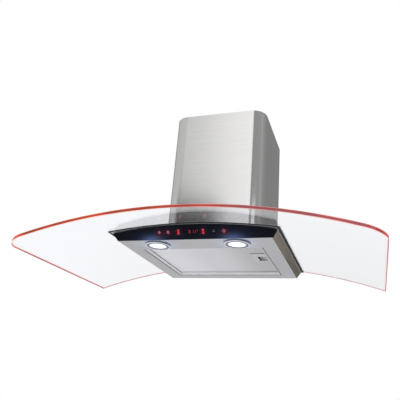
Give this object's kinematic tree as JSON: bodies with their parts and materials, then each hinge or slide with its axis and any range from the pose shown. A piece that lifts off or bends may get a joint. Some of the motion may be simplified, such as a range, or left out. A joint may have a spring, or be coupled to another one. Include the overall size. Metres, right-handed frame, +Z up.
{
  "type": "range hood",
  "caption": "Wall-hung chimney range hood with an arched clear glass canopy, slim leaning steel body, touch panel, round lamps, hinged grease filter and telescopic duct cover.",
  "frame": {"origin": "on the wall plane, at the middle of the back edge of the steel body's underside", "axes": "+X to the right along the canopy's width, +Y into the wall, so the front is -Y, +Z up"},
  "size_m": [0.9, 0.52, 0.4783],
  "materials": {
    "clear_glass": "polished, toughened",
    "black_glass": "polished, back-painted black",
    "smoked_window": "polished, smoked",
    "brushed_stainless": "brushed",
    "galvanised_steel": "galvanised",
    "zinc_steel": "bright zinc plated",
    "aluminium_frame": "anodised satin",
    "aluminium_mesh": "expanded foil",
    "cast_aluminium": "cast",
    "chrome_ring": "polished",
    "lamp_lens": "frosted, lit",
    "red_key": "lit",
    "red_led": "lit",
    "black_rubber": "moulded",
    "clear_plastic": "moulded",
    "black_plastic": "moulded",
    "grey_plastic": "moulded satin",
    "white_plastic": "moulded",
    "circuit_board": "solder resist"
  },
  "bodies": {
    "hood": {"glass_canopy": "clear_glass", "glass_gasket": "black_rubber", "glass_bushes": "clear_plastic", "clamp_gasket": "black_rubber", "clamp_frame": "galvanised_steel", "clamp_bolts": "zinc_steel", "clamp_nuts": "zinc_steel", "edge_light_strips": "red_led", "bottom_pan": "brushed_stainless", "rear_plate": "brushed_stainless", "deck_plate": "brushed_stainless", "deck_pillars": "zinc_steel", "control_panel": "black_glass", "key_marks": "red_key", "display_window": "smoked_window", "touch_board": "circuit_board", "panel_rail": "galvanised_steel", "lamp_boards": "circuit_board", "lamp_clips": "zinc_steel", "chassis_plate": "galvanised_steel", "chamber_shell": "galvanised_steel", "chamber_lid": "galvanised_steel", "chamber_screws": "zinc_steel", "motor": "cast_aluminium", "motor_bracket": "galvanised_steel", "motor_mounts": "black_rubber", "run_capacitor": "white_plastic", "capacitor_strap": "galvanised_steel", "outlet_collar": "black_plastic", "damper_pin": "zinc_steel", "control_box": "white_plastic", "control_box_lid": "white_plastic", "power_board": "circuit_board", "cable_gland": "black_plastic", "lower_cover": "brushed_stainless", "cover_nuts": "zinc_steel", "cover_guides": "white_plastic", "side_plate_left": "brushed_stainless", "side_plate_right": "brushed_stainless", "scroll_left": "black_plastic", "scroll_right": "black_plastic", "lamp_bezel_left": "chrome_ring", "lamp_bezel_right": "chrome_ring", "lamp_lens_left": "lamp_lens", "lamp_lens_right": "lamp_lens", "lamp_heatsink_left": "cast_aluminium", "lamp_heatsink_right": "cast_aluminium"},
    "filter": {"filter_frame": "aluminium_frame", "filter_face": "aluminium_mesh", "filter_mesh": "aluminium_mesh", "latch_plate": "grey_plastic", "latch_spring": "zinc_steel"},
    "latch": {"latch_slider": "grey_plastic"},
    "rotor": {"impeller": "black_plastic", "motor_shaft": "zinc_steel"},
    "flap_front": {"damper_flap_front": "black_plastic"},
    "flap_rear": {"damper_flap_rear": "black_plastic"},
    "telescopic_cover": {"upper_cover": "brushed_stainless", "cover_bracket": "galvanised_steel", "cover_screws": "zinc_steel"}
  },
  "joints": [
    {"name": "filter_hinge", "type": "hinge", "parent": "hood", "child": "filter", "pos_m": [-0.156, -0.18, 0.003], "axis": [0, 1, 0], "range_deg": [0, 80]},
    {"name": "latch_slide", "type": "slide", "parent": "filter", "child": "latch", "axis": [-1, 0, 0], "range_m": [0, 0.006], "stiffness_N_per_m": 250, "springref_m": -0.004, "deforming": ["latch_spring"]},
    {"name": "impeller_spin", "type": "hinge", "parent": "hood", "child": "rotor", "pos_m": [0, -0.09, 0.155], "axis": [1, 0, 0], "continuous": true},
    {"name": "flap_front_hinge", "type": "hinge", "parent": "hood", "child": "flap_front", "pos_m": [0, -0.132, 0.287], "axis": [-1, 0, 0], "range_deg": [0, 78]},
    {"name": "flap_rear_hinge", "type": "hinge", "parent": "hood", "child": "flap_rear", "pos_m": [0, -0.132, 0.287], "axis": [1, 0, 0], "range_deg": [0, 78]},
    {"name": "cover_slide", "type": "slide", "parent": "hood", "child": "telescopic_cover", "axis": [0, 0, 1], "range_m": [0, 0.3]}
  ]
}
